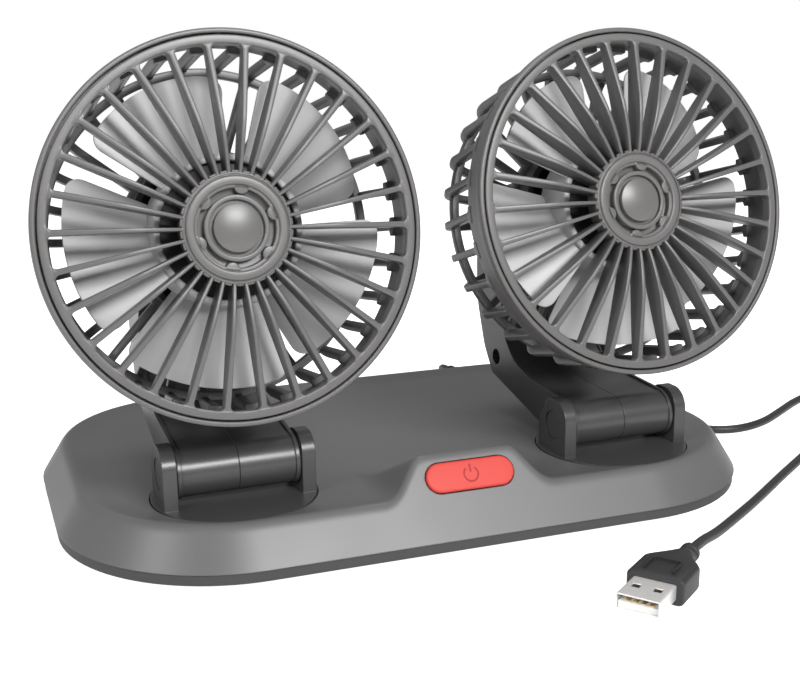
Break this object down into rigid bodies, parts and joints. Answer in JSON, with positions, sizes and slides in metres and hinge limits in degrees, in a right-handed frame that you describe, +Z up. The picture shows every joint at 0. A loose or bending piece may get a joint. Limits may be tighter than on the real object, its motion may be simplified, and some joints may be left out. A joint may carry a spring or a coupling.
{
  "type": "dual personal fan",
  "caption": "Low desk stand with a tray top carrying two small round caged fans, each on its own swivel disc and tilting arm, with a push button in front and a thin lead to a plug.",
  "frame": {"origin": "centre of the underside of the base's rubber pad", "axes": "+X along the base to the right, -Y to the front where the button is, +Z up"},
  "size_m": [0.3309, 0.2453, 0.1489],
  "materials": {
    "housing_grey": "satin moulded, mid grey",
    "hinge_grey": "satin moulded, darker grey",
    "grille_grey": "satin moulded, dark grey",
    "hub_grey": "satin moulded, grey",
    "cover_dark": "fine matt, dark",
    "pad_rubber": "matt",
    "blade_white": "translucent, satin",
    "motor_black": "satin",
    "motor_steel": "turned",
    "magnet_dark": "matt",
    "screw_steel": "plated",
    "button_red": "satin",
    "switch_black": "satin",
    "board_green": "lacquered",
    "lead_black": "satin",
    "plug_black": "satin",
    "shell_nickel": "plated, pale",
    "insert_white": "satin",
    "contact_gold": "gold-plated",
    "washer_nylon": "natural"
  },
  "bodies": {
    "base": {"base_shell": "housing_grey", "base_console": "housing_grey", "base_cover": "cover_dark", "base_pad": "pad_rubber", "base_cover_screws": "screw_steel", "push_switch": "switch_black", "control_board": "board_green", "control_board_screws": "screw_steel", "cord_gland": "lead_black", "supply_lead": "lead_black", "plug_body": "plug_black", "plug_shell": "shell_nickel", "plug_insert": "insert_white", "plug_contacts": "contact_gold"},
    "power_button": {"power_button": "button_red"},
    "left_turntable": {"left_turntable": "hinge_grey", "left_turntable_retainer": "motor_steel", "left_turntable_screws": "screw_steel", "left_hinge_pin": "motor_steel", "left_hinge_caps": "hinge_grey", "left_hinge_washers": "washer_nylon"},
    "left_rotor": {"left_rotor": "blade_white", "left_motor_bell": "motor_black", "left_motor_magnet": "magnet_dark", "left_motor_shaft": "motor_steel"},
    "left_head": {"left_arm_half_a": "hinge_grey", "left_arm_half_b": "hinge_grey", "left_arm_screws": "screw_steel", "left_rear_cage": "grille_grey", "left_front_grille": "grille_grey", "left_hub_bezel": "hub_grey", "left_hub_cap": "hub_grey", "left_motor_stator": "motor_steel", "left_motor_bearings": "motor_steel", "left_motor_board": "board_green", "left_motor_housing": "motor_black", "left_motor_housing_screws": "screw_steel"},
    "right_turntable": {"right_turntable": "hinge_grey", "right_turntable_retainer": "motor_steel", "right_turntable_screws": "screw_steel", "right_hinge_pin": "motor_steel", "right_hinge_caps": "hinge_grey", "right_hinge_washers": "washer_nylon"},
    "right_rotor": {"right_rotor": "blade_white", "right_motor_bell": "motor_black", "right_motor_magnet": "magnet_dark", "right_motor_shaft": "motor_steel"},
    "right_head": {"right_arm_half_a": "hinge_grey", "right_arm_half_b": "hinge_grey", "right_arm_screws": "screw_steel", "right_rear_cage": "grille_grey", "right_front_grille": "grille_grey", "right_hub_bezel": "hub_grey", "right_hub_cap": "hub_grey", "right_motor_stator": "motor_steel", "right_motor_bearings": "motor_steel", "right_motor_board": "board_green", "right_motor_housing": "motor_black", "right_motor_housing_screws": "screw_steel"}
  },
  "joints": [
    {"name": "left_swivel", "type": "hinge", "parent": "base", "child": "left_turntable", "pos_m": [-0.0639, -0.0406, 0.015], "axis": [0, 0, 1], "range_deg": [-170, 170]},
    {"name": "left_tilt", "type": "hinge", "parent": "left_turntable", "child": "left_head", "pos_m": [-0.06388, -0.0415, 0.0239], "axis": [0.9997, 0.0244, 0], "range_deg": [-13, 50]},
    {"name": "left_spin", "type": "hinge", "parent": "left_head", "child": "left_rotor", "pos_m": [-0.06395, -0.03845, 0.09257], "axis": [0.024, -0.981, 0.1925], "continuous": true},
    {"name": "right_swivel", "type": "hinge", "parent": "base", "child": "right_turntable", "pos_m": [0.0639, -0.0406, 0.015], "axis": [0, 0, 1], "range_deg": [-170, 170]},
    {"name": "right_tilt", "type": "hinge", "parent": "right_turntable", "child": "right_head", "pos_m": [0.06393, -0.0415, 0.0239], "axis": [0.9996, 0.0297, 0], "range_deg": [-10, 50]},
    {"name": "right_spin", "type": "hinge", "parent": "right_head", "child": "right_rotor", "pos_m": [0.06371, -0.03414, 0.09224], "axis": [0.0287, -0.9668, 0.2538], "continuous": true},
    {"name": "button_press", "type": "slide", "parent": "base", "child": "power_button", "axis": [0, 0.849, -0.5284], "range_m": [0, 0.001], "stiffness_N_per_m": 500}
  ]
}
